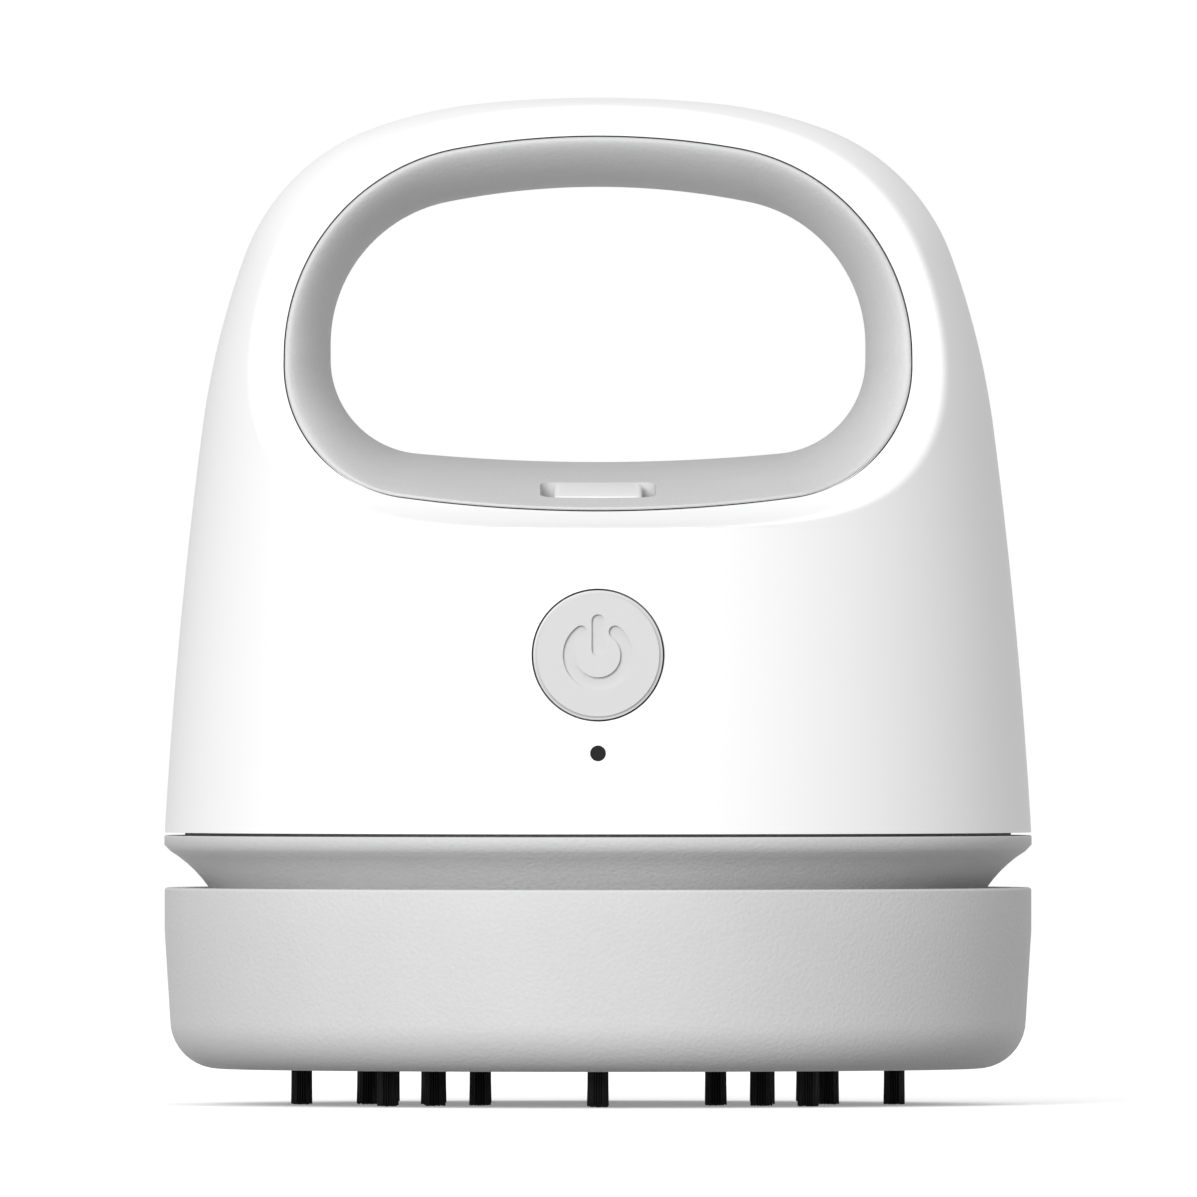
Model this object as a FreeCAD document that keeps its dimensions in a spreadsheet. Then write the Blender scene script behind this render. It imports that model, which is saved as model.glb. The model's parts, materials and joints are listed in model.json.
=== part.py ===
import FreeCAD, Part
import Sketcher
import math
import os
import sys
from FreeCAD import Vector, Placement, Rotation

# Desktop mini vacuum cleaner.  Frame: +Z up, origin on the desk under the middle, the front faces -Y.  Millimetres.
# The top shell is one turned form scooped front and back into an upright handle blade; the dust cup below it carries
# the brush and stays on the desk when the upper unit is lifted off.

os.makedirs("parts", exist_ok=True)
doc = FreeCAD.newDocument("desk_vacuum")
sheet = doc.addObject("Spreadsheet::Sheet", "dims")
D = {}


def dim(**kw):
    """Puts driving dimensions into the sheet, one named cell each."""
    for name, value in kw.items():
        n = len(D) + 1
        sheet.set("A%d" % n, name)
        sheet.set("B%d" % n, repr(round(float(value), 5)))
        sheet.setAlias("B%d" % n, name)
        D[name] = round(float(value), 5)


# ---------------------------------------------------------------- driving dimensions
# top shell: turned profile of five arcs from the crown down to the parting line (radius, height, arc radius)
dim(crown_z=102.272, crown_r=118.884,
    dome_xa=11.870, dome_za=101.678, dome_ra=45.201,
    dome_xb=23.071, dome_zb=99.084, dome_rb=21.665,
    dome_xc=35.885, dome_zc=86.216, dome_rc=81.844,
    dome_xd=40.194, dome_zd=68.580, dome_rd=577.882,
    hem_x=44.012, hem_z=27.65, wall=1.8)
# the scoop that thins the upper part to a blade: straight face, then a quarter oval out to the shoulder
dim(blade_y=14.5, scoop_top=112.0, scoop_za=90.5, scoop_ya=17.52, scoop_zm=74.5, scoop_ra=53.0,
    scoop_yb=26.30, scoop_zn=64.25, scoop_rb=33.0, shoulder_y=42.6, shoulder_z=58.5, scoop_rc=19.5, scoop_far=60.0)
# handle opening: seam of the liner in the shell, and the waist of the opening half way through
dim(seam_gap=0.12)
# button, light, slide, charging inlet
dim(button_z=45.70, button_r=6.525, button_hole_r=6.70, button_front=43.05, button_back=41.25, button_flange_r=7.5,
    button_flange_front=39.85, button_flange_back=38.95, symbol_depth=0.42,
    lens_z=35.80, lens_r=0.80, lens_front=43.42, lens_back=36.9,
    slide_travel=1.1, inlet_z=33.0, inlet_wide=8.94, inlet_tall=3.26, inlet_gap=0.25)
# neck ring
dim(bead_r=44.05, bead_top=27.35, bead_low=26.30, cove_x=43.44, cove_z=25.76, cove_r=12.9, neck_x=38.2, neck_z=19.6,
    neck_low=12.5, neck_inner=36.4, floor_low=15.5, floor_top=17.0, duct_r=20.5, duct_wall=1.5, duct_top=27.0,
    tongue_r=41.95, tongue_inner=40.6, tongue_top=29.4)
# dust cup
dim(cup_low=3.66, cup_top=22.05, cup_r=44.02, cup_draft_z=17.7, cup_low_r=43.46, cup_corner_z=8.55, cup_flat_r=38.55,
    cup_corner_r=4.95, cup_floor=6.90, cup_inner=39.55, cup_step_z=16.0, cup_upper_inner=41.55, ledge_r=37.6,
    ledge_low=10.7, ledge_top=12.2, mouth_r=10.0, chimney_r=11.5, chimney_top=10.6, plate_r=34.6, plate_recess_r=34.8,
    plate_top=5.45, recess_top=5.56)
# brush
dim(tuft_r=1.12, tuft_row_a=16.9, tuft_row_b=23.4, tuft_row_c=30.1, tuft_rows=8)
# fan and motor
dim(fan_base_low=27.0, fan_base_top=28.2, fan_r=28.5, fan_ring_inner=27.0, eye_r=11.0, deck_low=36.6, deck_top=38.4,
    impeller_r=24.5, impeller_low=29.0, impeller_top=35.6, shaft_r=1.0, motor_r=12.2, motor_top=56.0,
    cell_r=7.1, cell_len=50.0, cell_y=21.2, cell_z=47.2, screw_ring=33.5)


# ---------------------------------------------------------------- outlines of the opening
def oval_numbers(f_low, f_side, f_top, shrink=0.0):
    """Corner points and radii of the opening's outline between its waist (0) and its seam (1)."""
    waist = dict(zb=65.267, Rb=197.4, zt=93.218, Rt=77.4, xs=27.16, zs=75.79, Ra=14.73, Rc=9.59)
    rim = dict(zb=60.184, Rb=147.6, zt=98.301, Rt=81.6, xs=31.86, zs=72.30, Ra=21.45, Rc=13.58)
    mix = lambda k, f: waist[k] + (rim[k] - waist[k]) * f
    zb, zt = mix("zb", f_low) + shrink, mix("zt", f_top) - shrink
    xs = mix("xs", f_side) - shrink
    Rb, Rt, Ra, Rc = [mix(k, min(f_side, 1.0)) - shrink for k in ("Rb", "Rt", "Ra", "Rc")]
    side_R = 400.0
    zs = mix("zs", min(f_side, 1.0))
    top, low, side = (0.0, zt - Rt), (0.0, zb + Rb), (xs - side_R, zs)

    def corner(c1, R1, c2, R2, r, up):
        d1, d2 = R1 - r, R2 - r
        dx, dz = c2[0] - c1[0], c2[1] - c1[1]
        dd = math.hypot(dx, dz)
        a = (d1 * d1 - d2 * d2 + dd * dd) / (2 * dd)
        hh = math.sqrt(max(d1 * d1 - a * a, 0.0))
        mx, mz = c1[0] + a * dx / dd, c1[1] + a * dz / dd
        pts = [(mx + hh * dz / dd, mz - hh * dx / dd), (mx - hh * dz / dd, mz + hh * dx / dd)]
        return max(pts, key=lambda c: c[0] + (c[1] if up else -c[1]))

    ca = corner(top, Rt, side, side_R, Ra, True)
    cc = corner(low, Rb, side, side_R, Rc, False)

    def reach(c, R, o):
        dx, dz = o[0] - c[0], o[1] - c[1]
        dd = math.hypot(dx, dz)
        return c[0] + dx / dd * R, c[1] + dz / dd * R

    p1, p2 = reach(top, Rt, ca), reach(side, side_R, ca)
    p3, p4 = reach(side, side_R, cc), reach(low, Rb, cc)
    return dict(xa=p1[0], za=p1[1], xb=p2[0], zb=p2[1], xc=p3[0], zc=p3[1], xd=p4[0], zd=p4[1],
                rt=Rt, ra=Ra, rs=side_R, rc=Rc, rb=Rb)


def oval_cells(tag, *args, **kw):
    for k, v in oval_numbers(*args, **kw).items():
        dim(**{"%s_%s" % (tag, k): v})


oval_cells("seam", 1, 1, 1)
oval_cells("liner", 1, 1, 1, shrink=D["seam_gap"])
# the inner face of the liner is a loft through outlines at these depths
STATIONS = (0.0, 8.0, 14.0, 24.0, 38.0)


def flare(t, p):
    return t ** p if t <= 1 else 1 + 0.35 * (t - 1)


for n, depth in enumerate(STATIONS):
    dim(**{"st%s_y" % chr(97 + n): depth})
    oval_cells("st%s" % chr(97 + n), flare(depth / 33.0, 1.35) if depth < 33 else 1 + 0.2 * (depth / 33.0 - 1),
               flare(depth / 17.5, 2.6), flare(depth / 14.5, 2.6))

doc.recompute()


# ---------------------------------------------------------------- helpers
def expr(obj, prop, text):
    obj.setExpression(prop, text)


def val(term):
    """Number of a term such as 'alias', '-alias', 'alias+0.5' or a plain number."""
    if isinstance(term, (int, float)):
        return float(term)
    text = term
    for name in sorted(D, key=len, reverse=True):
        text = text.replace("dims." + name, "(%r)" % D[name])
    total, sign, word, depth = 0.0, 1.0, "", 0
    # only sums of products of plain terms are used
    text = text.replace(" ", "")
    terms, cur, level = [], "", 0
    for ch in text:
        if ch == "(":
            level += 1
        if ch == ")":
            level -= 1
        if ch in "+-" and level == 0 and cur:
            terms.append(cur)
            cur = ch
        else:
            cur += ch
    terms.append(cur)
    for item in terms:
        factor = 1.0
        if item[0] in "+-":
            factor = -1.0 if item[0] == "-" else 1.0
            item = item[1:]
        for piece in item.split("*"):
            factor *= float(piece.strip("()"))
        total += factor
    return total


def term(t):
    """'alias' style shorthand to an expression text."""
    if isinstance(t, (int, float)):
        return float(t)
    out, word = "", ""
    for ch in t + " ":
        if ch.isalnum() or ch == "_" or ch == ".":
            word += ch
        else:
            if word:
                out += ("dims." + word) if word in D else word
            word = ""
            out += ch
    return out.strip()


def chain(sk, pts):
    """Closed outline: each entry is (x, z, bulge) where bulge is None for a straight run to the next point or
    (radius, side) for an arc, side +1 when the arc lies to the left of the run and -1 to the right. The radius
    "on_axis" puts the arc's centre on the axis of the turned body."""
    n = len(pts)
    xy = [(val(term(p[0])), val(term(p[1]))) for p in pts]
    geos, cons, names = [], [], []
    for i in range(n):
        a, b = xy[i], xy[(i + 1) % n]
        A, B = Vector(a[0], a[1], 0), Vector(b[0], b[1], 0)
        bulge = pts[i][2] if len(pts[i]) > 2 else None
        if bulge is None:
            geos.append(Part.LineSegment(A, B))
        else:
            if bulge[0] == "on_axis":
                zc = (b[0] ** 2 + b[1] ** 2 - a[0] ** 2 - a[1] ** 2) / (2 * (b[1] - a[1]))
                r = math.hypot(a[0], a[1] - zc)
            else:
                r = val(term(bulge[0]))
            half = (B - A).Length / 2
            d = (B - A).normalize()
            left = Vector(-d.y, d.x, 0)
            C = (A + B) * 0.5 - left * (math.sqrt(max(r * r - half * half, 0.0)) * bulge[1])
            P, Q = (B, A) if bulge[1] > 0 else (A, B)
            a0, a1 = math.atan2(P.y - C.y, P.x - C.x), math.atan2(Q.y - C.y, Q.x - C.x)
            if a1 < a0:
                a1 += 2 * math.pi
            geos.append(Part.ArcOfCircle(Part.Circle(C, Vector(0, 0, 1), r), a0, a1))
    sk.addGeometry(geos, False)
    ends = []
    for i in range(n):
        g = sk.Geometry[i]
        A = Vector(xy[i][0], xy[i][1], 0)
        ends.append((1, 2) if (g.StartPoint - A).Length < (g.EndPoint - A).Length else (2, 1))
    exps = []
    for i in range(n):
        j = (i + 1) % n
        cons.append(Sketcher.Constraint("Coincident", i, ends[i][1], j, ends[j][0]))
    for i in range(n):
        for kind, t, v in (("DistanceX", pts[i][0], xy[i][0]), ("DistanceY", pts[i][1], xy[i][1])):
            if kind == "DistanceX" and t == 0:
                cons.append(Sketcher.Constraint("PointOnObject", i, ends[i][0], -2))
                continue
            cons.append(Sketcher.Constraint(kind, -1, 1, i, ends[i][0], v))
            if not isinstance(t, (int, float)):
                exps.append((len(cons) - 1, term(t)))
        if len(pts[i]) > 2 and pts[i][2] is not None:
            if pts[i][2][0] == "on_axis":
                cons.append(Sketcher.Constraint("PointOnObject", i, 3, -2))
                continue
            cons.append(Sketcher.Constraint("Radius", i, val(term(pts[i][2][0]))))
            if not isinstance(pts[i][2][0], (int, float)):
                exps.append((len(cons) - 1, term(pts[i][2][0])))
    sk.addConstraint(cons)
    for k, text in exps:
        sk.setExpression("Constraints[%d]" % k, text)


def plane_of(body, role):
    for f in body.Origin.OriginFeatures:
        if f.Role == role:
            return f


def body_sketch(body, name, role="XZ_Plane", offset=None, flip=False):
    sk = body.newObject("Sketcher::SketchObject", name)
    sk.AttachmentSupport = [(plane_of(body, role), "")]
    sk.MapMode = "FlatFace"
    if offset is not None:
        sk.AttachmentOffset = Placement(Vector(0, 0, val(term(offset))), Rotation())
        if not isinstance(offset, (int, float)):
            sk.setExpression("AttachmentOffset.Base.z", term(offset))
    return sk


def turned_body(name, pts):
    """A body turned about Z from a closed outline of (radius, height)."""
    body = doc.addObject("PartDesign::Body", name)
    sk = body_sketch(body, name + "_outline")
    chain(sk, pts)
    rev = body.newObject("PartDesign::Revolution", name + "_turn")
    rev.Profile = sk
    rev.ReferenceAxis = (sk, ["V_Axis"])
    rev.Angle = 360
    body.Tip = rev
    doc.recompute()
    return body


def turned_cut(body, name, pts):
    sk = body_sketch(body, name + "_outline")
    chain(sk, pts)
    gr = body.newObject("PartDesign::Groove", name)
    gr.Profile = sk
    gr.ReferenceAxis = (sk, ["V_Axis"])
    gr.Angle = 360
    before = body.Shape.Volume
    body.Tip = gr
    doc.recompute()
    assert body.Shape.Volume < before - 0.01, name
    return gr


def pocket(body, name, role, pts=None, circles=None, length=None, offset=None, reverse=False, both=False):
    """Cuts an outline or circles into the body, through all or to a length."""
    sk = body_sketch(body, name + "_outline", role, offset)
    if pts is not None:
        chain(sk, pts)
    for cx, cy, r in circles or []:
        k = sk.addGeometry(Part.Circle(Vector(val(term(cx)), val(term(cy)), 0), Vector(0, 0, 1), val(term(r))), False)
        for kind, t in (("DistanceX", cx), ("DistanceY", cy)):
            c = sk.addConstraint(Sketcher.Constraint(kind, -1, 1, k, 3, val(term(t))))
            if not isinstance(t, (int, float)):
                sk.setExpression("Constraints[%d]" % c, term(t))
        c = sk.addConstraint(Sketcher.Constraint("Radius", k, val(term(r))))
        if not isinstance(r, (int, float)):
            sk.setExpression("Constraints[%d]" % c, term(r))
    pk = body.newObject("PartDesign::Pocket", name)
    pk.Profile = sk
    if both:
        pk.SideType = "Symmetric"
    if length is None:
        pk.Type = "ThroughAll"
    else:
        pk.Type = "Length"
        pk.Length = val(term(length))
        if not isinstance(length, (int, float)):
            pk.setExpression("Length", term(length))
    pk.Reversed = reverse
    before = body.Shape.Volume
    body.Tip = pk
    doc.recompute()
    assert body.Shape.Volume < before - 0.001, (name, before, body.Shape.Volume)
    return pk


def placed(obj, x=0, y=0, z=0, axis=None, angle=0):
    terms = [x, y, z]
    nums = [val(term(t)) for t in terms]
    rot = Rotation(axis, angle) if axis is not None else Rotation()
    obj.Placement = Placement(Vector(*nums), rot)
    for k, t in zip("xyz", terms):
        if not isinstance(t, (int, float)):
            obj.setExpression("Placement.Base." + k, term(t))
    return obj


def prim(kind, name, props, x=0, y=0, z=0, axis=None, angle=0):
    obj = doc.addObject("Part::" + kind, name)
    for p, t in props.items():
        setattr(obj, p, val(term(t)))
        if not isinstance(t, (int, float)):
            obj.setExpression(p, term(t))
    return placed(obj, x, y, z, axis, angle)


def box(name, lx, ly, lz, x, y, z):
    return prim("Box", name, dict(Length=lx, Width=ly, Height=lz), x, y, z)


def cyl(name, r, length, x=0, y=0, z=0, axis=None, angle=0):
    return prim("Cylinder", name, dict(Radius=r, Height=length), x, y, z, axis, angle)


def cyl_y(name, r, length, x, y, z):
    """Cylinder lying along +Y from the point given."""
    return cyl(name, r, length, x, y, z, Vector(1, 0, 0), -90)


def fuse(name, *objs):
    f = doc.addObject("Part::MultiFuse", name)
    f.Shapes = list(objs)
    f.Refine = True
    return f


def cut(name, base, *tools):
    tool = tools[0] if len(tools) == 1 else fuse(name + "_tools", *tools)
    c = doc.addObject("Part::Cut", name)
    c.Base, c.Tool = base, tool
    c.Refine = True
    return c


def common(name, a, b):
    c = doc.addObject("Part::Common", name)
    c.Base, c.Tool = a, b
    return c


def group(name, *objs):
    c = doc.addObject("Part::Compound", name)
    c.Links = list(objs)
    return c


NODES = []


def node(obj, name):
    obj.Label = name
    NODES.append((name, obj))
    return obj


# ---------------------------------------------------------------- dust cup, root body
cup = turned_body("base_cup_body", [
    ("mouth_r", "cup_low"), ("cup_flat_r", "cup_low", ("cup_corner_r", -1)), ("cup_low_r", "cup_corner_z"),
    ("cup_r", "cup_draft_z"), ("cup_r", "cup_top-0.3", (0.3, -1)), ("cup_r-0.3", "cup_top"),
    ("cup_upper_inner+0.3", "cup_top", (0.3, -1)), ("cup_upper_inner", "cup_top-0.3"), ("cup_upper_inner", "cup_step_z"),
    ("cup_inner", "cup_step_z-0.8"), ("cup_inner", "ledge_top"), ("ledge_r", "ledge_top"), ("ledge_r", "ledge_low"),
    ("cup_inner", "ledge_low-1.2"), ("cup_inner", "cup_floor+2.2", (2.2, 1)), ("cup_inner-2.2", "cup_floor"),
    ("chimney_r+1", "cup_floor", (1.0, 1)), ("chimney_r", "cup_floor+1"), ("chimney_r", "chimney_top-0.4", (0.4, -1)),
    ("chimney_r-0.4", "chimney_top"), ("mouth_r", "chimney_top")])
turned_cut(cup, "plate_recess", [("mouth_r-1", "cup_low-1"), ("plate_recess_r", "cup_low-1"),
                                 ("plate_recess_r", "recess_top"), ("mouth_r-1", "recess_top")])
node(cup, "base_cup")

plate = turned_body("brush_plate_body", [
    ("mouth_r+1.0", "cup_low+0.02", None), ("plate_r-0.3", "cup_low+0.02", (0.3, -1)), ("plate_r", "cup_low+0.32"),
    ("plate_r", "plate_top"), ("mouth_r", "plate_top"), ("mouth_r", "cup_low+1.02", (1.0, -1))])
tuft_rows = [(row, 0, "tuft_r") for row in ("tuft_row_a", "tuft_row_b", "tuft_row_c")]
pk = pocket(plate, "tuft_holes", "XY_Plane", circles=tuft_rows, length=10, reverse=True)
pat = plate.newObject("PartDesign::PolarPattern", "tuft_holes_round")
pat.Originals = [pk]
pat.Axis = (pk.Profile[0], ["N_Axis"])
pat.Angle = 360
pat.Occurrences = 8
pat.setExpression("Occurrences", "dims.tuft_rows")
plate.Tip = pat
doc.recompute()
node(plate, "brush_plate")

tufts = []
for k in range(int(D["tuft_rows"])):
    for row in "abc":
        t = cyl("tuft_%s%d" % (row, k), "tuft_r", "plate_top")
        a = math.radians(45 * k)
        t.Placement = Placement(Vector(D["tuft_row_" + row] * math.cos(a), D["tuft_row_" + row] * math.sin(a), 0), Rotation())
        t.setExpression("Placement.Base.x", "dims.tuft_row_%s * cos(%d deg)" % (row, 45 * k))
        t.setExpression("Placement.Base.y", "dims.tuft_row_%s * sin(%d deg)" % (row, 45 * k))
        tufts.append(t)
node(group("brush_tufts_set", *tufts), "brush_tufts")

# ---------------------------------------------------------------- neck ring, seal, filter
neck = turned_body("neck_ring_body", [
    ("neck_x-1.8", "neck_low"), ("neck_x", "neck_low"), ("neck_x", "neck_z", ("cove_r", 1)), ("cove_x", "cove_z"),
    ("bead_r", "bead_low+0.1"), ("bead_r", "bead_top-0.15", (0.15, -1)), ("bead_r-0.15", "bead_top"),
    ("tongue_r", "bead_top"), ("tongue_r", "tongue_top"), ("tongue_inner", "tongue_top"), ("tongue_inner", "cove_z+1.2"),
    ("neck_inner", "neck_z+1.4"), ("neck_inner", "floor_top"), ("duct_r+duct_wall", "floor_top"),
    ("duct_r+duct_wall", "duct_top"), ("duct_r", "duct_top"), ("duct_r", "floor_low"), ("neck_inner", "floor_low")])
turned_cut(neck, "seal_groove", [("neck_x-1.05", 13.55), ("neck_x+1", 13.55), ("neck_x+1", 15.25), ("neck_x-1.05", 15.25)])
neck_cutters = []
for k in range(36):
    if k % 9 == 4:
        continue
    a = 10 * k
    b = box("vent_tool_%d" % k, 6, 2.6, 3.0, 0, 0, 0)
    rot = Rotation(Vector(0, 0, 1), a)
    b.Placement = Placement(rot.multVec(Vector(35.0, -1.3, 17.3)), rot)
    neck_cutters.append(b)
bosses, holes = [], []
BOSS = (30, 150, 210, 330)
for k, a in enumerate(BOSS):
    for lst, nm, r, z, lz in ((bosses, "neck_post", 3.0, "floor_low", "duct_top+0.2-floor_low"),
                              (holes, "neck_post_hole", 1.35, 10, 30)):
        c = cyl("%s_%d" % (nm, k), r, lz, 0, 0, z)
        c.setExpression("Placement.Base.x", "dims.screw_ring * cos(%d deg)" % a)
        c.setExpression("Placement.Base.y", "dims.screw_ring * sin(%d deg)" % a)
        lst.append(c)
    c = cyl("neck_head_seat_%d" % k, 2.4, 2.2, 0, 0, "floor_low-0.2")
    c.setExpression("Placement.Base.x", "dims.screw_ring * cos(%d deg)" % a)
    c.setExpression("Placement.Base.y", "dims.screw_ring * sin(%d deg)" % a)
    holes.append(c)
neck_full = cut("neck_ring_full", fuse("neck_with_posts", neck, *bosses), *(holes + neck_cutters))
node(neck_full, "neck_ring")

node(prim("Torus", "cup_seal_ring", dict(Radius1="neck_x+0.43", Radius2=0.82), 0, 0, 14.4), "cup_seal")

# filter basket: flange, cage of eight ribs, closed top ring
flange = cut("filter_flange", cyl("filter_flange_o", 24.0, 1.2, 0, 0, "floor_low-1.25"), cyl("filter_flange_i", 18.75, 3, 0, 0, "floor_low-2"))
cage_top = cyl("filter_cap", 20.0, 1.0, 0, 0, 25.3)
collar = cut("filter_collar", cyl("filter_collar_o", 20.0, 2.0, 0, 0, "floor_low-0.1"), cyl("filter_collar_i", 18.8, 4, 0, 0, "floor_low-1"))
ribs = []
for k in range(8):
    b = box("filter_rib_%d" % k, 1.2, 1.4, 9.9, 0, 0, 0)
    rot = Rotation(Vector(0, 0, 1), 45 * k)
    b.Placement = Placement(rot.multVec(Vector(18.75, -0.7, 15.5)), rot)
    ribs.append(b)
node(cut("filter_frame_cut", fuse("filter_frame_all", flange, cage_top, collar, *ribs), cyl("filter_cap_hole", 8.0, 5, 0, 0, 24)), "filter_frame")
media = cut("filter_media_cut", cyl("filter_media_o", 18.7, 10.6, 0, 0, 14.65), cyl("filter_media_i", 17.4, 9.6, 0, 0, 14.60))
node(media, "filter_media")

# ---------------------------------------------------------------- fan housing, impeller, motor
fan_base = turned_body("fan_base_body", [
    ("eye_r", "fan_base_low+0.05"), ("duct_r+duct_wall+0.1", "fan_base_low+0.05"), ("duct_r+duct_wall+0.1", "fan_base_low-1.6"),
    ("duct_r+duct_wall+1.4", "fan_base_low-1.6"), ("duct_r+duct_wall+1.4", "fan_base_low+0.05"), ("fan_r", "fan_base_low+0.05"),
    ("fan_r", "deck_low"), ("fan_ring_inner", "deck_low"), ("fan_ring_inner", "fan_base_top"), ("eye_r", "fan_base_top")])
outlets = []
for k in range(12):
    b = box("fan_outlet_%d" % k, 6, 8.0, 5.6, 0, 0, 0)
    rot = Rotation(Vector(0, 0, 1), 30 * k + 15)
    b.Placement = Placement(rot.multVec(Vector(25.0, -4.0, 29.4)), rot)
    outlets.append(b)
ears = []
ear_holes = []
EARS = (0, 120, 240)
for k, a in enumerate(EARS):
    for lst, nm, r, z, lz in ((ears, "fan_ear", 2.3, "deck_low-6", 6), (ear_holes, "fan_ear_hole", 0.8, "deck_low-7", 8)):
        c = cyl("%s_%d" % (nm, k), r, lz, 0, 0, z)
        c.setExpression("Placement.Base.x", "(dims.fan_r + 1.0) * cos(%d deg)" % a)
        c.setExpression("Placement.Base.y", "(dims.fan_r + 1.0) * sin(%d deg)" % a)
        lst.append(c)
node(cut("fan_base_cut", cut("fan_base_ears", fuse("fan_base_fused", fan_base, *ears), cyl("fan_ring_clear", "fan_ring_inner", 7.5, 0, 0, "fan_base_top+0.3")),
         *(outlets + ear_holes)), "fan_base")

hub = turned_body("impeller_body", [
    (1.0, "impeller_low"), (3.2, "impeller_low", (7.5, 1)), (6.5, "impeller_top-2.4", (60.0, 1)), ("impeller_r", "impeller_top-0.9"),
    ("impeller_r", "impeller_top"), (1.0, "impeller_top")])
blades = []
for k in range(9):
    a1 = cyl("blade_out_%d" % k, 17.0, 4.6)
    a2 = cyl("blade_in_%d" % k, 16.0, 4.6)
    rot = Rotation(Vector(0, 0, 1), 40 * k)
    for c in (a1, a2):
        c.Placement = Placement(rot.multVec(Vector(9.5, 15.0, D["impeller_low"] + 0.3)), rot)
    blades.append(cut("blade_%d" % k, a1, a2))
blade_zone = cut("blade_zone", cyl("blade_zone_o", "impeller_r-0.2", 9, 0, 0, "impeller_low-1"), cyl("blade_zone_i", 8.0, 9.5, 0, 0, "impeller_low-1.2"))
half_planes = []
for k in range(9):
    h_box = box("blade_side_%d" % k, 60, 30, 9, 0, 0, 0)
    rot = Rotation(Vector(0, 0, 1), 40 * k)
    h_box.Placement = Placement(rot.multVec(Vector(-30 + 9.5, -14.0, D["impeller_low"] - 1)), rot)
    half_planes.append(common("blade_half_%d" % k, blades[k], h_box))
blade_set = common("blade_set", fuse("blade_fuse", *half_planes), blade_zone)
node(fuse("impeller_full", hub, blade_set), "impeller")
node(cyl("motor_shaft_rod", "shaft_r", 28.4, 0, 0, 28.6), "motor_shaft")

deck = turned_body("motor_deck_body", [
    (3.6, "deck_low"), ("fan_r", "deck_low"), ("fan_r", "deck_top"), ("motor_r+1.8", "deck_top"), ("motor_r+1.8", "deck_top+1.6"),
    ("motor_r+0.05", "deck_top+1.6"), ("motor_r+0.05", "deck_top"), (3.6, "deck_top")])
deck_ears, deck_holes = [], []
for k, a in enumerate(EARS):
    for lst, nm, r, z, lz in ((deck_ears, "deck_ear", 2.3, "deck_low", "deck_top-deck_low"), (deck_holes, "deck_ear_hole", 1.1, 30, 20)):
        c = cyl("%s_%d" % (nm, k), r, lz, 0, 0, z)
        c.setExpression("Placement.Base.x", "(dims.fan_r + 1.0) * cos(%d deg)" % a)
        c.setExpression("Placement.Base.y", "(dims.fan_r + 1.0) * sin(%d deg)" % a)
        lst.append(c)
for k, sx in enumerate((-1, 1)):
    deck_holes.append(cyl("motor_screw_hole_%d" % k, 1.1, 20, sx * 8.0, 0, 30))
    deck_holes.append(prim("Cone", "motor_screw_seat_%d" % k, dict(Radius1=2.0, Radius2=1.1, Height=1.1), sx * 8.0, 0, "deck_low"))
node(cut("motor_deck_cut", fuse("motor_deck_fused", deck, *deck_ears), *deck_holes), "motor_deck")

fan_screws, motor_screws, case_screws = [], [], []
for k, a in enumerate(EARS):
    head = cyl("fan_screw_head_%d" % k, 1.9, 1.2, 0, 0, "deck_top")
    shank = cyl("fan_screw_shank_%d" % k, 0.8, 6.4, 0, 0, "deck_top-6.4")
    for c in (head, shank):
        c.setExpression("Placement.Base.x", "(dims.fan_r + 1.0) * cos(%d deg)" % a)
        c.setExpression("Placement.Base.y", "(dims.fan_r + 1.0) * sin(%d deg)" % a)
    slot = box("fan_screw_slot_%d" % k, 4.4, 0.5, 0.6, 0, 0, "deck_top+0.7")
    slot.setExpression("Placement.Base.x", "(dims.fan_r + 1.0) * cos(%d deg) - 2.2" % a)
    slot.setExpression("Placement.Base.y", "(dims.fan_r + 1.0) * sin(%d deg) - 0.25" % a)
    fan_screws.append(cut("fan_screw_%d" % k, fuse("fan_screw_body_%d" % k, head, shank), slot))
node(group("fan_screw_set", *fan_screws), "fan_screws")
for k, sx in enumerate((-1, 1)):
    head = prim("Cone", "motor_screw_head_%d" % k, dict(Radius1=1.95, Radius2=1.05, Height=1.05), sx * 8.0, 0, "deck_low+0.02")
    shank = cyl("motor_screw_shank_%d" % k, 0.95, 3.6, sx * 8.0, 0, "deck_low+0.8")
    slot = box("motor_screw_slot_%d" % k, 4, 0.5, 0.5, sx * 8.0 - 2, -0.25, "deck_low-0.1")
    motor_screws.append(cut("motor_screw_%d" % k, fuse("motor_screw_body_%d" % k, head, shank), slot))
node(group("motor_screw_set", *motor_screws), "motor_screws")

can = cyl("motor_can", "motor_r", "motor_top-deck_top-0.4", 0, 0, "deck_top+0.4")
can_fillet = doc.addObject("Part::Fillet", "motor_can_round")
doc.recompute()
can_fillet.Base = can
top_edge = [i + 1 for i, e in enumerate(can.Shape.Edges) if len(e.Vertexes) == 1 and e.BoundBox.ZMin > D["motor_top"] - 0.01]
can_fillet.Edges = [(top_edge[0], 1.2, 1.2)]
boss_low = cyl("motor_boss", 3.0, 1.4, 0, 0, "deck_top-0.8")
boss_top = cyl("motor_boss_top", 3.4, 1.3, 0, 0, "motor_top-0.1")
tabs = [box("motor_tab_%d" % k, 0.5, 2.2, 2.6, sx * 7.5 - 0.25, -1.1, "motor_top-0.3") for k, sx in enumerate((-1, 1))]
motor_holes = [cyl("motor_tap_%d" % k, 0.97, 4.0, sx * 8.0, 0, "deck_top+0.2") for k, sx in enumerate((-1, 1))]
motor_holes.append(cyl("motor_bore", 1.05, 40, 0, 0, 30))
can_seat = cut("motor_cut", fuse("motor_all", can_fillet, boss_low, boss_top, *tabs), *motor_holes)
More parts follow.
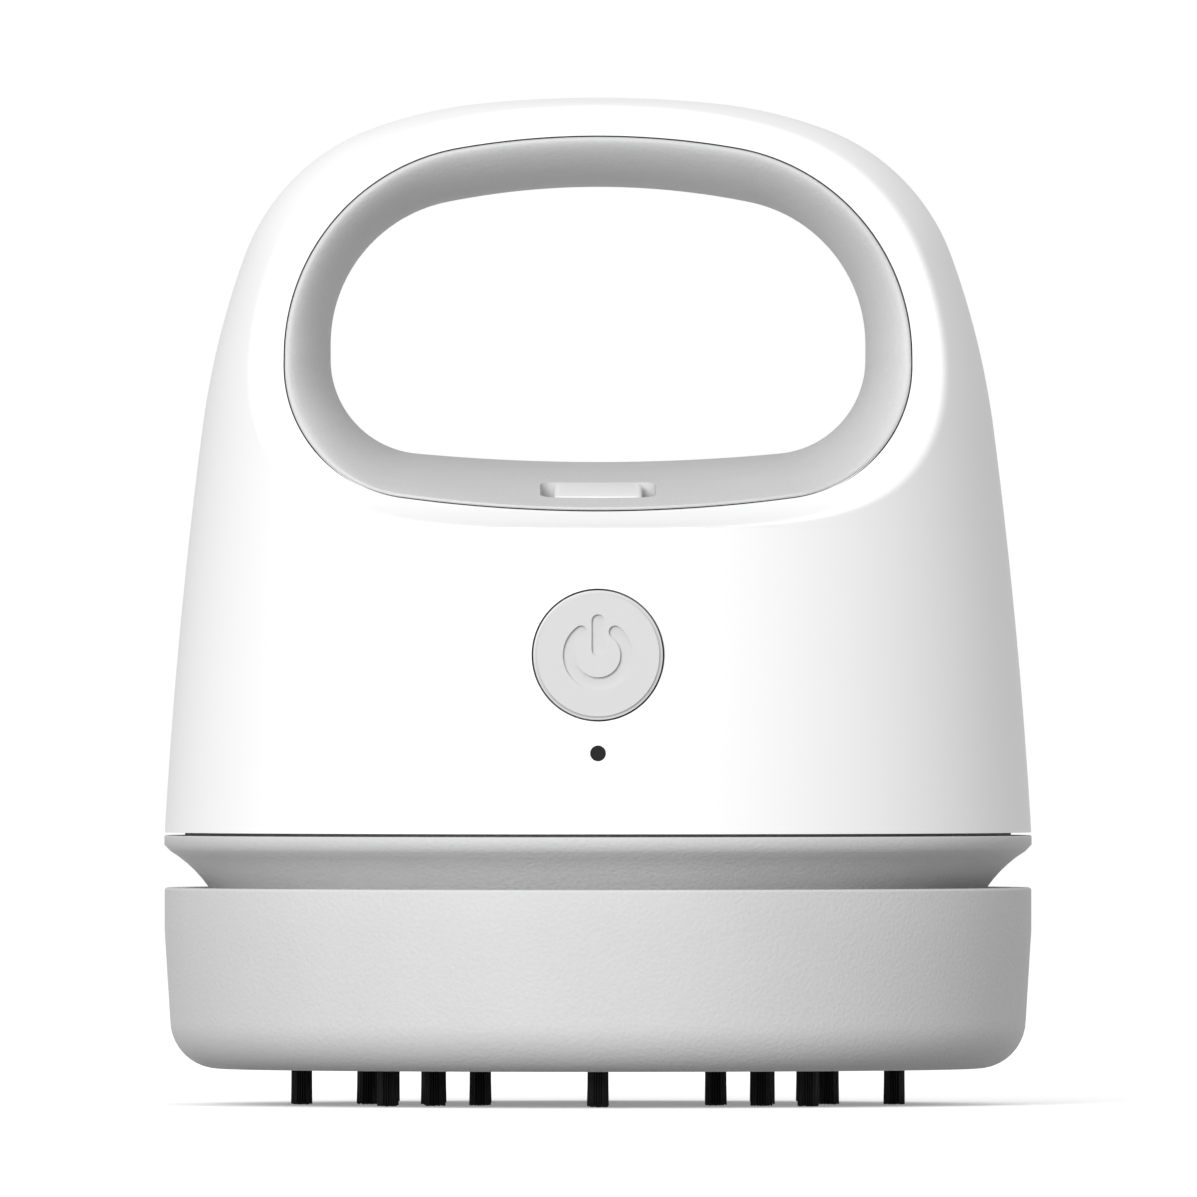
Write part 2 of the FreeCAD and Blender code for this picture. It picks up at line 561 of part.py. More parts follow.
node(can_seat, "motor")

# ---------------------------------------------------------------- battery
cells = []
for k, sy in enumerate((-1, 1)):
    y = "cell_y" if sy > 0 else "-cell_y"
    c = cyl("cell_can_%d" % k, "cell_r", "cell_len-1.4", "-cell_len*0.5", y, "cell_z", Vector(0, 1, 0), 90)
    nub = cyl("cell_nub_%d" % k, 2.4, 1.6, "cell_len*0.5-1.5", y, "cell_z", Vector(0, 1, 0), 90)
    cells.append(fuse("cell_%d" % k, c, nub))
node(group("cell_pair", *cells), "battery_cells")
saddles = []
for k, sx in enumerate((-1, 1)):
    saddles.append(box("saddle_%d" % k, 3.0, 56, 8.0, sx * 18.0 - 1.5, -28, "deck_top+0.05"))
saddles.append(box("saddle_tie_a", 36, 3.0, 1.6, -18, -19.0, "deck_top+0.05"))
saddles.append(box("saddle_tie_b", 36, 3.0, 1.6, -18, 16.0, "deck_top+0.05"))
saddle_cuts = [cyl("saddle_bed_%d" % k, "cell_r+0.05", 70, -35, ("cell_y" if sy > 0 else "-cell_y"), "cell_z", Vector(0, 1, 0), 90) for k, sy in enumerate((-1, 1))]
saddle_cuts.append(cyl("saddle_motor_clear", "motor_r+2.2", 20, 0, 0, "deck_top-1"))
for k, a in enumerate(EARS):
    c = cyl("saddle_screw_clear_%d" % k, 2.2, 1.6, 0, 0, "deck_top-0.05")
    c.setExpression("Placement.Base.x", "(dims.fan_r + 1.0) * cos(%d deg)" % a)
    c.setExpression("Placement.Base.y", "(dims.fan_r + 1.0) * sin(%d deg)" % a)
    saddle_cuts.append(c)
node(cut("battery_cradle_cut", fuse("saddle_all", *saddles), *saddle_cuts), "battery_cradle")

# ---------------------------------------------------------------- electronics behind the front wall
board = cut("main_board", box("main_board_plate", 24, 1.6, 24.5, -12, -35.6, 30.6), cyl_y("board_hole_a", 1.1, 6, -10, -38, 52.5), cyl_y("board_hole_b", 1.1, 6, 10, -38, 52.5))
node(board, "circuit_board")
sw = cut("push_switch_cut", box("push_switch_case", 6.2, 2.4, 6.2, -3.1, -38.0, "button_z-3.1"), cyl_y("push_switch_bore", 1.83, 3.5, 0, -40, "button_z"))
node(sw, "push_switch")
node(cyl_y("push_plunger", 1.75, 1.55, 0, -38.95, "button_z"), "switch_plunger")
led = fuse("status_led_all", box("led_case", 1.6, 0.9, 0.8, -0.8, -36.5, "lens_z-0.4"), box("led_foot", 2.6, 0.35, 0.8, -1.3, -35.95, "lens_z-0.4"))
node(led, "status_light")
lens = fuse("lens_all", cyl_y("lens_rod", "lens_r", "lens_front-lens_back", 0, "-lens_front", "lens_z"), cyl_y("lens_collar", 1.5, 0.8, 0, -41.5, "lens_z"))
node(lens, "indicator_lens")

# push button: cap with a recessed ring and bar, collar behind the wall, stem
cap = cyl_y("button_cap", "button_r", "button_front-button_flange_back", 0, "-button_front", "button_z")
cap_round = doc.addObject("Part::Fillet", "button_cap_round")
doc.recompute()
front = [i + 1 for i, e in enumerate(cap.Shape.Edges) if len(e.Vertexes) == 1 and e.BoundBox.YMax < -D["button_front"] + 0.01]
cap_round.Base = cap
cap_round.Edges = [(front[0], 0.35, 0.35)]
collar_b = cyl_y("button_collar", "button_flange_r", "button_flange_front-button_flange_back", 0, "-button_flange_front", "button_z")
ring_out = cyl_y("symbol_ring_o", 3.55, 1.0, 0, "-button_front-0.58", "button_z")
ring_in = cyl_y("symbol_ring_i", 2.25, 2.0, 0, "-button_front-1", "button_z")
gap_box = box("symbol_gap", 3.0, 2, 5, -1.5, "-button_front-1", "button_z")
bar = fuse("symbol_bar", box("symbol_bar_mid", 1.3, 1.0, 2.9, -0.65, "-button_front-0.58", "button_z+0.55"),
           cyl_y("symbol_bar_low", 0.65, 1.0, 0, "-button_front-0.58", "button_z+0.55"),
           cyl_y("symbol_bar_high", 0.65, 1.0, 0, "-button_front-0.58", "button_z+3.45"))
symbol = fuse("symbol_all", cut("symbol_arc", ring_out, ring_in, gap_box), bar,
              cyl_y("symbol_end_a", 0.65, 1.0, 1.72, "-button_front-0.58", "button_z+2.33"),
              cyl_y("symbol_end_b", 0.65, 1.0, -1.72, "-button_front-0.58", "button_z+2.33"))
node(cut("power_button_cut", fuse("power_button_all", cap_round, collar_b), symbol), "power_button")

# ---------------------------------------------------------------- charging inlet in the back wall
def stadium(name, wide, tall, length, x, y, z):
    mid = box(name + "_mid", wide - tall, length, tall, x - (wide - tall) / 2.0, y, z - tall / 2.0)
    return fuse(name, mid, cyl_y(name + "_l", tall / 2.0, length, x - (wide - tall) / 2.0, y, z), cyl_y(name + "_r", tall / 2.0, length, x + (wide - tall) / 2.0, y, z))


iz = D["inlet_z"]
sleeve = cut("inlet_sleeve", stadium("inlet_outer", 8.94, 3.26, 8.0, 0, 34.9, iz), stadium("inlet_inner", 8.34, 2.66, 8.0, 0, 35.7, iz))
tongue = box("inlet_tongue", 6.7, 5.2, 0.7, -3.35, 35.5, iz - 0.35)
node(fuse("charging_inlet_all", sleeve, tongue), "charging_inlet")
node(box("charge_board_plate", 16, 9.5, 1.2, -8, 31.5, iz - 1.63 - 1.2), "charge_board")

# ---------------------------------------------------------------- handle liner halves
def upright_sketch(name, pts, depth=0.0):
    """A sketch standing in a plane across Y, drawn in X and Z, at a depth in front of the middle."""
    sk = doc.addObject("Sketcher::SketchObject", name)
    sk.Placement = Placement(Vector(0, -val(term(depth)), 0), Rotation(Vector(1, 0, 0), 90))
    if not isinstance(depth, (int, float)):
        sk.setExpression("Placement.Base.y", "-" + term(depth))
    chain(sk, pts)
    return sk


def liner_blank():
    """Prism of the rim outline from the middle forwards, less the flared opening and the scoop."""
    pad = doc.addObject("Part::Extrusion", "liner_prism")
    pad.Base = upright_sketch("liner_rim", oval_points("liner"))
    pad.DirMode = "Custom"
    pad.Dir = Vector(0, -1, 0)
    pad.LengthFwd = 44
    pad.Solid = True
    loft = doc.addObject("Part::Loft", "liner_flare")
    loft.Sections = [upright_sketch("flare_at_st%s" % chr(97 + n), oval_points("st%s" % chr(97 + n)), "st%s_y" % chr(97 + n))
                     for n in range(len(STATIONS))]
    loft.Solid = True
    loft.Ruled = False
    return cut("liner_blank", cut("liner_flared", pad, loft), scoop_front)


def oval_points(tag):
    n = lambda k: "%s_%s" % (tag, k)
    m = lambda k: "-%s_%s" % (tag, k)
    return [(n("xa"), n("za"), (n("ra"), 1)), (n("xb"), n("zb"), (n("rs"), 1)), (n("xc"), n("zc"), (n("rc"), 1)),
            (n("xd"), n("zd"), (n("rb"), 1)), (m("xd"), n("zd"), (n("rc"), 1)), (m("xc"), n("zc"), (n("rs"), 1)),
            (m("xb"), n("zb"), (n("ra"), 1)), (m("xa"), n("za"), (n("rt"), 1))]


def scoop_solid(name, inset):
    """The scooped-away block in front: an outline in the YZ plane drawn out along X."""
    sk = doc.addObject("Sketcher::SketchObject", name + "_outline")
    sk.Placement = Placement(Vector(-60, 0, 0), Rotation(Vector(1, 1, 1), 120))
    pts = scoop_curve(inset)
    chain(sk, pts)
    ex = doc.addObject("Part::Extrusion", name)
    ex.Base = sk
    ex.DirMode = "Custom"
    ex.Dir = Vector(1, 0, 0)
    ex.LengthFwd = 120
    ex.Solid = True
    doc.recompute()
    return ex


def scoop_curve(i):
    """Straight blade face down to blade_bend, then two tangent arcs that run out level at the shoulder."""
    yc, zc, Ra, Rb, ang = 43.074, 86.958, 28.37, 28.851, 0.934
    cy, cz = yc + (Rb - Ra) * math.cos(ang), zc + (Rb - Ra) * math.sin(ang)
    return [(-(yc - Ra - i), D["scoop_top"], None), (-(yc - Ra - i), zc, (Ra + i, 1)),
            (-(yc - (Ra + i) * math.cos(ang)), zc - (Ra + i) * math.sin(ang), (Rb + i, 1)),
            (-cy, cz - Rb - i, None), (-D["scoop_far"], cz - Rb - i, None), (-D["scoop_far"], D["scoop_top"], None)]


scoop_front = scoop_solid("scoop_front", 0.0)
scoop_back = scoop_solid("scoop_back", 0.0)
scoop_back.Placement = Placement(Vector(0, 0, 0), Rotation(Vector(0, 0, 1), 180))
blank = liner_blank()
back_half = group("liner_back_half", blank)
back_half.Placement = Placement(Vector(0, 0, 0), Rotation(Vector(0, 0, 1), 180))

# pocket and slot for the slide in the bottom of the front half
def rounded_box(name, lx, ly, lz, x, y, z, r):
    """Box with its four upright edges rounded."""
    b = box(name + "_block", lx, ly, lz, x, y, z)
    doc.recompute()
    f = doc.addObject("Part::Fillet", name)
    f.Base = b
    f.Edges = [(i + 1, r, r) for i, e in enumerate(b.Shape.Edges) if e.BoundBox.ZLength > lz - 0.01]
    return f


dim(pocket_wide=11.7, pocket_long=9.2, pocket_y=-23.4, pocket_z=60.85, knob_wide=8.9, knob_long=8.2)
slide_pocket = rounded_box("slide_pocket", 11.7, 9.2, 8.0, -5.85, D["pocket_y"] - 4.6, D["pocket_z"], 1.5)
slide_slot = box("slide_slot", 5.4, 2.4, 6, -2.7, "pocket_y-1.2", 57)
node(cut("handle_liner_front_cut", blank, slide_pocket, slide_slot), "handle_liner_front")
node(back_half, "handle_liner_back")

knob_block = rounded_box("slide_knob_block", 8.9, 8.2, 2.6, -4.45, D["pocket_y"] - 4.1, D["pocket_z"] + 0.2, 0.9)
knob_stem = box("slide_knob_stem", 2.6, 1.8, 3.4, -1.3, "pocket_y-0.9", "pocket_z-3.1")
knob_trim = box("slide_knob_trim", 20, 14, 6, 0, 0, 0)
knob_trim.Placement = Placement(Vector(0, D["pocket_y"], 62.42), Rotation(Vector(1, 0, 0), 9.1)).multiply(Placement(Vector(-10, -7, 0), Rotation()))
node(cut("slide_knob_cut", fuse("slide_knob_all", knob_block, knob_stem), knob_trim), "slide_knob")
node(cut("slide_switch_cut", box("slide_switch_case", 9.0, 4.8, 3.6, -4.5, "pocket_y-2.4", 56.3),
         box("slide_switch_slot", 5.4, 2.4, 3.0, -2.7, "pocket_y-1.2", 57.3)), "slide_switch")

# ---------------------------------------------------------------- top shell
outer = turned_body("shell_outer_body", [
    (0, "crown_z", ("on_axis", 1)), ("dome_xa", "dome_za", ("dome_ra", 1)), ("dome_xb", "dome_zb", ("dome_rb", 1)),
    ("dome_xc", "dome_zc", ("dome_rc", 1)), ("dome_xd", "dome_zd", ("dome_rd", 1)), ("hem_x", "hem_z"), (0, "hem_z")])

# inner face: the same outline one wall further in
arcs = [("crown_r", 0.0, "crown_z"), ("dome_ra", "dome_xa", "dome_za"), ("dome_rb", "dome_xb", "dome_zb"),
        ("dome_rc", "dome_xc", "dome_zc"), ("dome_rd", "dome_xd", "dome_zd")]
corners = [(0.0, D["crown_z"])] + [(D["dome_x" + c], D["dome_z" + c]) for c in "abcd"] + [(D["hem_x"], D["hem_z"])]


def arc_centre(p, q, r):
    """Centre of the arc of radius r from p to q whose hollow side faces the axis."""
    mx, mz, dx, dz = (p[0] + q[0]) / 2, (p[1] + q[1]) / 2, q[0] - p[0], q[1] - p[1]
    half = math.hypot(dx, dz) / 2
    k = math.sqrt(r * r - half * half) / (2 * half)
    return (mx + dz * k, mz - dx * k) if mx + dz * k < mx else (mx - dz * k, mz + dx * k)


inner = [(0.0, D["crown_z"] - D["wall"])]
for n in range(1, 6):
    rad = D[arcs[n - 1][0]]
    c = arc_centre(corners[n - 1], corners[n], rad)
    f = (rad - D["wall"]) / rad
    inner.append((c[0] + (corners[n][0] - c[0]) * f, c[1] + (corners[n][1] - c[1]) * f))
for n, (x, z) in enumerate(inner):
    dim(**{"inner_x" + "oabcde"[n]: x, "inner_z" + "oabcde"[n]: z})
doc.recompute()
hollow = turned_body("shell_hollow_body", [
    (0, "inner_zo", ("on_axis", 1)), ("inner_xa", "inner_za", ("dome_ra-wall", 1)), ("inner_xb", "inner_zb", ("dome_rb-wall", 1)),
    ("inner_xc", "inner_zc", ("dome_rc-wall", 1)), ("inner_xd", "inner_zd", ("dome_rd-wall", 1)), ("inner_xe", "inner_ze"),
    ("inner_xe", "hem_z-2"), (0, "hem_z-2")])
deep_front = scoop_solid("scoop_deep_front", D["wall"])
deep_back = scoop_solid("scoop_deep_back", D["wall"])
deep_back.Placement = Placement(Vector(0, 0, 0), Rotation(Vector(0, 0, 1), 180))
room = cut("shell_room", hollow, deep_front, deep_back)
skin = cut("shell_skin", outer, scoop_front, scoop_back, room)

seam_sketch = upright_sketch("seam_outline", oval_points("seam"))
seam_cut = doc.addObject("Part::Extrusion", "seam_opening")
seam_cut.Base = seam_sketch
seam_cut.DirMode = "Custom"
seam_cut.Dir = Vector(0, 1, 0)
seam_cut.LengthFwd = 120
seam_cut.Symmetric = True
seam_cut.Solid = True

shell_posts, shell_bores = [], []
for k, a in enumerate(BOSS):
    post = cyl("shell_post_%d" % k, 3.0, 12.5, 0, 0, "hem_z-0.2")
    bore = cyl("shell_bore_%d" % k, 1.05, 10.5, 0, 0, "hem_z-1")
    for c in (post, bore):
        c.setExpression("Placement.Base.x", "dims.screw_ring * cos(%d deg)" % a)
        c.setExpression("Placement.Base.y", "dims.screw_ring * sin(%d deg)" % a)
    shell_posts.append(post)
    shell_bores.append(bore)
    rib = box("shell_rib_%d" % k, 8.0, 1.6, 10.2, 0, 0, 0)
    rot = Rotation(Vector(0, 0, 1), a)
    rib.Placement = Placement(rot.multVec(Vector(35.0, -0.8, 29.7)), rot)
    shell_posts.append(rib)
posts_in = common("shell_posts_in", fuse("shell_posts_all", *shell_posts), outer)
openings = [cyl_y("button_hole", "button_hole_r", 12, 0, -47, "button_z"), cyl_y("lens_hole", "lens_r", 8, 0, -46, "lens_z"),
            stadium("inlet_hole", D["inlet_wide"] + 2 * D["inlet_gap"], D["inlet_tall"] + 2 * D["inlet_gap"], 8.0, 0, 39.0, iz)]
shell_open = cut("top_shell_open", skin, seam_cut, *openings)
node(cut("top_shell_cut", fuse("top_shell_all", shell_open, posts_in), *shell_bores), "top_shell")

for k, a in enumerate(BOSS):
    head = cyl("case_screw_head_%d" % k, 2.2, 1.7, 0, 0, "floor_low+0.3")
    shank = cyl("case_screw_shank_%d" % k, 1.05, 17.5, 0, 0, "floor_low+2.0")
    socket = cyl("case_screw_socket_%d" % k, 0.9, 1.0, 0, 0, "floor_low+0.2")
    for c in (head, shank, socket):
        c.setExpression("Placement.Base.x", "dims.screw_ring * cos(%d deg)" % a)
        c.setExpression("Placement.Base.y", "dims.screw_ring * sin(%d deg)" % a)
    case_screws.append(cut("case_screw_%d" % k, fuse("case_screw_body_%d" % k, head, shank), socket))
node(group("case_screw_set", *case_screws), "case_screws")

# ---------------------------------------------------------------- check and write
doc.recompute()
bad = [o.Name for o in doc.Objects if "Invalid" in o.State or "Error" in o.State]
if bad:
    sys.exit("failed objects: %s" % bad)
for name, obj in NODES:
    shape = obj.Shape
    if shape.isNull() or not shape.isValid() or not shape.Solids:
        sys.exit("bad shape: " + name)
for name, obj in NODES:
    obj.Shape.exportStep("parts/%s.step" % name)
    print("%-20s solids %d volume %.1f" % (name, len(obj.Shape.Solids), obj.Shape.Volume))
print("nodes", len(NODES))
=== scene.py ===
import bpy, bmesh, json, math, random
import numpy as np
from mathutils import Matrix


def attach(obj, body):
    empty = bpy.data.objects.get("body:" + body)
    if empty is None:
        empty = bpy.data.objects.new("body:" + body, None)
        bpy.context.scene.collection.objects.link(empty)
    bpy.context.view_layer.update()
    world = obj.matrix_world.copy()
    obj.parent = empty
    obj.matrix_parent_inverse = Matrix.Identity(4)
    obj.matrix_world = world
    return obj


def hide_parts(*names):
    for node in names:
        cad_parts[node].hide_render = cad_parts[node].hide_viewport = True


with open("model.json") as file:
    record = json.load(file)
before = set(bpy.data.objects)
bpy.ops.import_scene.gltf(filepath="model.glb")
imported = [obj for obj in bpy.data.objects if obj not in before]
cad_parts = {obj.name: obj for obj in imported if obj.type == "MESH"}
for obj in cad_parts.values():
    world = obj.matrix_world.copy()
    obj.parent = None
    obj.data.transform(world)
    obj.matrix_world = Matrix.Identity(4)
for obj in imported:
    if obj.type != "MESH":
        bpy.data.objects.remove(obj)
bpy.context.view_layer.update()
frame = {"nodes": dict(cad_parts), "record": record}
NODES = frame["nodes"]
random.seed(7)


# ------------------------------------------------------------------ outlines (millimetres)
def path(entries, counts=None):
    """Open outline through (a, b) points; an entry's third item (radius, side) makes the run to the next point an arc,
    side +1 when it bulges to the left of the run."""
    out = []
    for i in range(len(entries) - 1):
        e, f = entries[i], entries[i + 1]
        A, B = np.array(e[:2], float), np.array(f[:2], float)
        bulge = e[2] if len(e) > 2 else None
        n = counts[i] if counts else 10
        if bulge is None:
            n = counts[i] if counts else 1
            for k in range(n):
                out.append(A + (B - A) * k / n)
            continue
        r, side = bulge
        d = B - A
        half = np.linalg.norm(d) / 2
        d = d / (2 * half)
        left = np.array([-d[1], d[0]])
        C = (A + B) / 2 - left * math.sqrt(max(r * r - half * half, 0)) * side
        a0, a1 = math.atan2(*(A - C)[::-1]), math.atan2(*(B - C)[::-1])
        turn = (a1 - a0 + math.pi) % (2 * math.pi) - math.pi
        for k in range(n):
            a = a0 + turn * k / n
            out.append(C + r * np.array([math.cos(a), math.sin(a)]))
    out.append(np.array(entries[-1][:2], float))
    return np.array(out)


def densify(p, step):
    out = []
    for a, b in zip(p[:-1], p[1:]):
        n = max(1, int(np.linalg.norm(b - a) / step))
        for k in range(n):
            out.append(a + (b - a) * k / n)
    return np.array(out + [p[-1]])


def grid_faces(rows, cols, first=0, close_rows=False, flip=False):
    out = []
    for i in range(rows if close_rows else rows - 1):
        for j in range(cols):
            a, b = first + i * cols + j, first + i * cols + (j + 1) % cols
            i2 = (i + 1) % rows
            c, d = first + i2 * cols + (j + 1) % cols, first + i2 * cols + j
            out.append((d, c, b, a) if flip else (a, b, c, d))
    return out


def make(name, verts, faces):
    me = bpy.data.meshes.new(name)
    me.from_pydata((np.asarray(verts, float) * 0.001).tolist(), [], faces)
    bm = bmesh.new()
    bm.from_mesh(me)
    bmesh.ops.recalc_face_normals(bm, faces=bm.faces)
    bm.to_mesh(me)
    bm.free()
    o = bpy.data.objects.new(name, me)
    bpy.context.scene.collection.objects.link(o)
    return o


def smooth(o, angle=32):
    me = o.data
    me.polygons.foreach_set("use_smooth", [True] * len(me.polygons))
    me.set_sharp_from_angle(angle=math.radians(angle))
    me.update()


def done(o, body, nodes, mat, angle=32):
    smooth(o, angle)
    o.data.materials.clear()
    o.data.materials.append(mat)
    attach(o, body)
    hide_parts(*nodes)
    return o


def prism(outline, lo, hi, axis="y"):
    """Solid from a closed outline. Axis y takes (x, z) points, axis z takes (x, y) points."""
    n = len(outline)
    if axis == "y":
        v = [(p[0], lo, p[1]) for p in outline] + [(p[0], hi, p[1]) for p in outline]
    else:
        v = [(p[0], p[1], lo) for p in outline] + [(p[0], p[1], hi) for p in outline]
    f = [(i, (i + 1) % n, n + (i + 1) % n, n + i) for i in range(n)] + [tuple(range(n)), tuple(range(2 * n - 1, n - 1, -1))]
    return make("cutter", v, f)


def circle(cx, cz, r, n=96):
    return [(cx + r * math.cos(2 * math.pi * k / n), cz + r * math.sin(2 * math.pi * k / n)) for k in range(n)]


def rounded_rect(cx, cy, w, h, r, n=8):
    out = []
    for sx, sy, a0 in ((1, 1, 0), (-1, 1, 90), (-1, -1, 180), (1, -1, 270)):
        for k in range(n + 1):
            a = math.radians(a0 + 90 * k / n)
            out.append((cx + sx * (w / 2 - r) + r * math.cos(a), cy + sy * (h / 2 - r) + r * math.sin(a)))
    return out


def cut(o, *cutters):
    for c in cutters:
        m = o.modifiers.new("cut", "BOOLEAN")
        m.object, m.operation, m.solver = c, "DIFFERENCE", "MANIFOLD"
    dg = bpy.context.evaluated_depsgraph_get()
    me = bpy.data.meshes.new_from_object(o.evaluated_get(dg))
    o.modifiers.clear()
    o.data = me
    for c in cutters:
        bpy.data.objects.remove(c)
    return o


def lathe(name, outline, n=288, axis="z", at=0.0):
    """Closed outline of (radius, height) turned about Z, or about a line along Y at height `at`. Radius 0 is kept open by a hair."""
    v = []
    for r, h in outline:
        r = max(r, 0.02)
        for k in range(n):
            a = 2 * math.pi * k / n
            v.append((r * math.cos(a), r * math.sin(a), h) if axis == "z" else (r * math.cos(a), h, at + r * math.sin(a)))
    return make(name, v, grid_faces(len(outline), n, close_rows=True))


# ------------------------------------------------------------------ materials
def surface(name, rgb, rough, grain=0.25, bump=0.15, depth=0.00003, mottle=0.02, metal=0.0, spec=0.5, coat=0.0, brushed=None, sheen=0.0):
    """Procedural finish: a broad tone variation, a fine moulded or drawn grain in bump and roughness."""
    m = bpy.data.materials.new(name)
    m.use_nodes = True
    nt = m.node_tree
    nd, lk = nt.nodes, nt.links
    b = nd["Principled BSDF"]
    b.inputs["Metallic"].default_value = metal
    b.inputs["Specular IOR Level"].default_value = spec
    if coat:
        b.inputs["Coat Weight"].default_value = coat
        b.inputs["Coat Roughness"].default_value = 0.12
    if sheen:
        b.inputs["Sheen Weight"].default_value = sheen
    tc = nd.new("ShaderNodeTexCoord")
    mp = nd.new("ShaderNodeMapping")
    lk.new(tc.outputs["Object"], mp.inputs["Vector"])
    if brushed:
        mp.inputs["Scale"].default_value = brushed
    broad = nd.new("ShaderNodeTexNoise")
    broad.inputs["Scale"].default_value = 60
    broad.inputs["Detail"].default_value = 4
    lk.new(tc.outputs["Object"], broad.inputs["Vector"])
    fine = nd.new("ShaderNodeTexNoise")
    fine.inputs["Scale"].default_value = 1000.0 / grain
    fine.inputs["Detail"].default_value = 3
    lk.new(mp.outputs["Vector"], fine.inputs["Vector"])
    ramp = nd.new("ShaderNodeValToRGB")
    lo = [c * (1 - mottle) for c in rgb]
    hi = [min(1.0, c * (1 + mottle)) for c in rgb]
    ramp.color_ramp.elements[0].position, ramp.color_ramp.elements[1].position = 0.3, 0.7
    ramp.color_ramp.elements[0].color, ramp.color_ramp.elements[1].color = (*lo, 1), (*hi, 1)
    mixf = nd.new("ShaderNodeMath")
    mixf.operation = "MULTIPLY_ADD"
    lk.new(fine.outputs["Fac"], mixf.inputs[0])
    mixf.inputs[1].default_value = 0.45
    scl = nd.new("ShaderNodeMath")
    scl.operation = "MULTIPLY"
    lk.new(broad.outputs["Fac"], scl.inputs[0])
    scl.inputs[1].default_value = 0.55
    lk.new(scl.outputs[0], mixf.inputs[2])
    lk.new(mixf.outputs[0], ramp.inputs["Fac"])
    lk.new(ramp.outputs["Color"], b.inputs["Base Color"])
    mr = nd.new("ShaderNodeMapRange")
    lk.new(fine.outputs["Fac"], mr.inputs["Value"])
    mr.inputs["To Min"].default_value, mr.inputs["To Max"].default_value = max(rough - 0.06, 0.02), min(rough + 0.06, 1)
    lk.new(mr.outputs["Result"], b.inputs["Roughness"])
    bp = nd.new("ShaderNodeBump")
    bp.inputs["Strength"].default_value, bp.inputs["Distance"].default_value = bump, depth
    lk.new(fine.outputs["Fac"], bp.inputs["Height"])
    lk.new(bp.outputs["Normal"], b.inputs["Normal"])
    return m


M = {
    "white_shell": surface("white_plastic", (0.84, 0.84, 0.84), 0.42, 0.12, 0.10, 0.00001, 0.006),
    "grey_shell": surface("grey_plastic", (0.56, 0.56, 0.565), 0.62, 0.42, 0.9, 0.00006, 0.04, spec=0.35),
    "button_grey": surface("button_plastic", (0.54, 0.54, 0.545), 0.40, 0.18, 0.15, 0.00001, 0.01),
    "slide_grey": surface("slide_plastic", (0.78, 0.78, 0.78), 0.40, 0.18, 0.15, 0.00001, 0.01),
    "lens_dark": surface("dark_lens", (0.004, 0.004, 0.0045), 0.5, 0.2, 0.05, 0.00001, 0.05, spec=0.15),
    "bristle": surface("black_nylon", (0.003, 0.003, 0.0035), 0.5, 0.15, 0.2, 0.00002, 0.15, spec=0.15, brushed=(1, 1, 0.1)),
    "seal_rubber": surface("black_rubber", (0.02, 0.02, 0.02), 0.75, 0.2, 0.4, 0.00003, 0.08, spec=0.3),
    "inner_plastic": surface("dark_plastic", (0.075, 0.08, 0.09), 0.50, 0.25, 0.4, 0.00002, 0.05),
    "filter_frame": surface("filter_plastic", (0.05, 0.16, 0.33), 0.45, 0.25, 0.3, 0.00002, 0.04),
    "filter_cloth": surface("filter_cloth", (0.74, 0.74, 0.70), 0.95, 0.35, 1.0, 0.0002, 0.10, spec=0.1, sheen=0.3, brushed=(1, 1, 0.25)),
    "steel": surface("drawn_steel", (0.55, 0.55, 0.57), 0.28, 0.30, 0.25, 0.00002, 0.06, metal=1.0, brushed=(1, 1, 0.04)),
    "zinc_screw": surface("zinc_steel", (0.50, 0.51, 0.54), 0.33, 0.25, 0.3, 0.00002, 0.08, metal=1.0),
    "board_green": surface("circuit_resin", (0.012, 0.10, 0.035), 0.28, 0.4, 0.3, 0.00002, 0.12, coat=0.4, brushed=(1, 0.4, 1)),
    "switch_black": surface("black_plastic", (0.012, 0.012, 0.013), 0.45, 0.2, 0.3, 0.00002, 0.08),
    "led_clear": surface("clear_resin", (0.82, 0.82, 0.76), 0.12, 0.2, 0.1, 0.00001, 0.03, coat=0.5),
    "cell_wrap": surface("cell_sleeve", (0.02, 0.10, 0.26), 0.25, 0.5, 0.2, 0.00003, 0.06, coat=0.4),
}
SLOT = {s["node"]: s["material_slot"] for s in frame["record"]["subparts"]}
for name, o in NODES.items():
    o.data.materials.clear()
    o.data.materials.append(M[SLOT[name]])


